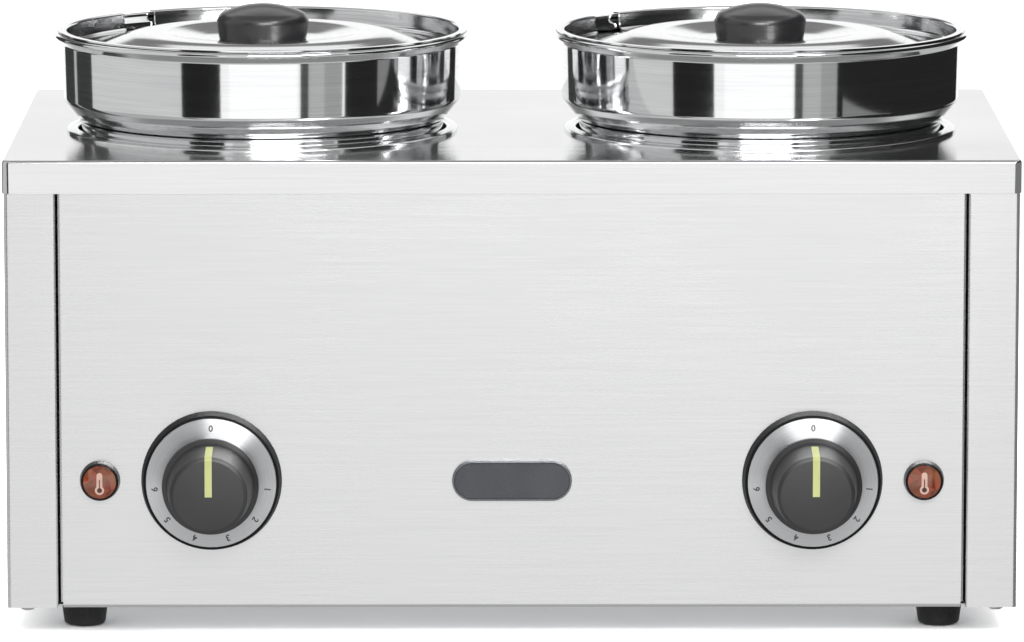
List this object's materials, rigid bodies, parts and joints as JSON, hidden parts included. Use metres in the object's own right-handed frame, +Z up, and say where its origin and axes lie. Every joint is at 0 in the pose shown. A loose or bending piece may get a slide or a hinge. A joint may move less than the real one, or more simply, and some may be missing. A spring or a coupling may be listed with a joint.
{
  "type": "electric chafing dish",
  "caption": "Countertop water-bath food warmer: round lidded pots sit in heated wells in a folded steel case with dial thermostats and pilot lamps.",
  "frame": {"origin": "on the resting surface, under the centre of the whole dish", "axes": "+X to the right seen from the front, +Y to the back, +Z up; the dials face -Y"},
  "size_m": [0.505, 0.3548, 0.3025],
  "materials": {
    "case_steel": "brushed stainless, fine grain across the face",
    "base_steel": "dull galvanised sheet",
    "well_steel": "pressed stainless, satin",
    "pot_steel": "mirror-polished stainless",
    "lid_steel": "bright stainless, lightly ring-brushed",
    "grip_plastic": "black phenolic, satin gloss",
    "knob_plastic": "black nylon, fine eggshell",
    "bezel_plastic": "black moulded plastic, soft gloss",
    "dial_metal": "aluminium, spin brushed",
    "pointer_inlay": "pale yellow-green inlay",
    "lamp_lens": "amber-red translucent lens",
    "lamp_body": "white moulded nylon",
    "badge_metal": "dark grey enamel on a pressed plate",
    "rating_foil": "bare satin foil",
    "foot_rubber": "black rubber",
    "screw_steel": "bright zinc-plated",
    "earth_brass": "turned brass",
    "heater_sheath": "heat-tinted sheath tube",
    "clamp_steel": "mill-finish strip",
    "bulb_copper": "drawn copper tube",
    "cutout_body": "black phenolic disc",
    "thermostat_body": "cream ceramic-filled moulding",
    "shaft_steel": "turned steel",
    "gland_nylon": "black nylon",
    "terminal_nylon": "natural nylon",
    "wire_silicone": "silicone-insulated wire"
  },
  "bodies": {
    "housing": {"deck_cover": "case_steel", "front_panel": "case_steel", "side_panel_left": "case_steel", "side_panel_right": "case_steel", "rear_panel": "case_steel", "base_plate": "base_steel", "well_left": "well_steel", "well_right": "well_steel", "dial_bezel_left": "bezel_plastic", "dial_bezel_right": "bezel_plastic", "pilot_bezel_left": "bezel_plastic", "pilot_bezel_right": "bezel_plastic", "dial_plate_left": "dial_metal", "dial_plate_right": "dial_metal", "pilot_lens_left": "lamp_lens", "pilot_lens_right": "lamp_lens", "pilot_body_left": "lamp_body", "pilot_body_right": "lamp_body", "pilot_nuts": "lamp_body", "badge": "badge_metal", "rating_plate": "rating_foil", "feet": "foot_rubber", "foot_screws": "screw_steel", "foot_nuts": "screw_steel", "base_screws": "screw_steel", "rear_screws": "screw_steel", "clamp_studs": "screw_steel", "clamp_nuts": "screw_steel", "thermostat_screws": "screw_steel", "earth_stud": "earth_brass", "earth_nut": "earth_brass", "heating_element_left": "heater_sheath", "heating_element_right": "heater_sheath", "clamp_bar_left": "clamp_steel", "clamp_bar_right": "clamp_steel", "sensing_bulb_left": "bulb_copper", "sensing_bulb_right": "bulb_copper", "safety_cutout_left": "cutout_body", "safety_cutout_right": "cutout_body", "thermostat_left": "thermostat_body", "thermostat_right": "thermostat_body", "cable_gland": "gland_nylon", "gland_locknut": "gland_nylon", "terminal_block": "terminal_nylon", "wiring_left": "wire_silicone", "wiring_right": "wire_silicone"},
    "pot_left": {"pot_left": "pot_steel"},
    "lid_left": {"lid_left": "lid_steel", "lid_knob_left": "grip_plastic", "lid_knob_screw_left": "screw_steel"},
    "knob_left": {"control_knob_left": "knob_plastic", "knob_pointer_left": "pointer_inlay", "thermostat_shaft_left": "shaft_steel"},
    "pot_right": {"pot_right": "pot_steel"},
    "lid_right": {"lid_right": "lid_steel", "lid_knob_right": "grip_plastic", "lid_knob_screw_right": "screw_steel"},
    "knob_right": {"control_knob_right": "knob_plastic", "knob_pointer_right": "pointer_inlay", "thermostat_shaft_right": "shaft_steel"}
  },
  "joints": [
    {"name": "pot_lift_left", "type": "slide", "parent": "housing", "child": "pot_left", "axis": [0, 0, 1], "range_m": [0, 0.17]},
    {"name": "lid_lift_left", "type": "slide", "parent": "pot_left", "child": "lid_left", "axis": [0, 0, 1], "range_m": [0, 0.12]},
    {"name": "knob_turn_left", "type": "hinge", "parent": "housing", "child": "knob_left", "pos_m": [-0.1495, -0.13123, 0.0775], "axis": [0, 1, 0], "range_deg": [0, 265]},
    {"name": "pot_lift_right", "type": "slide", "parent": "housing", "child": "pot_right", "axis": [0, 0, 1], "range_m": [0, 0.17]},
    {"name": "lid_lift_right", "type": "slide", "parent": "pot_right", "child": "lid_right", "axis": [0, 0, 1], "range_m": [0, 0.12]},
    {"name": "knob_turn_right", "type": "hinge", "parent": "housing", "child": "knob_right", "pos_m": [0.1495, -0.13123, 0.0775], "axis": [0, 1, 0], "range_deg": [0, 265]}
  ]
}
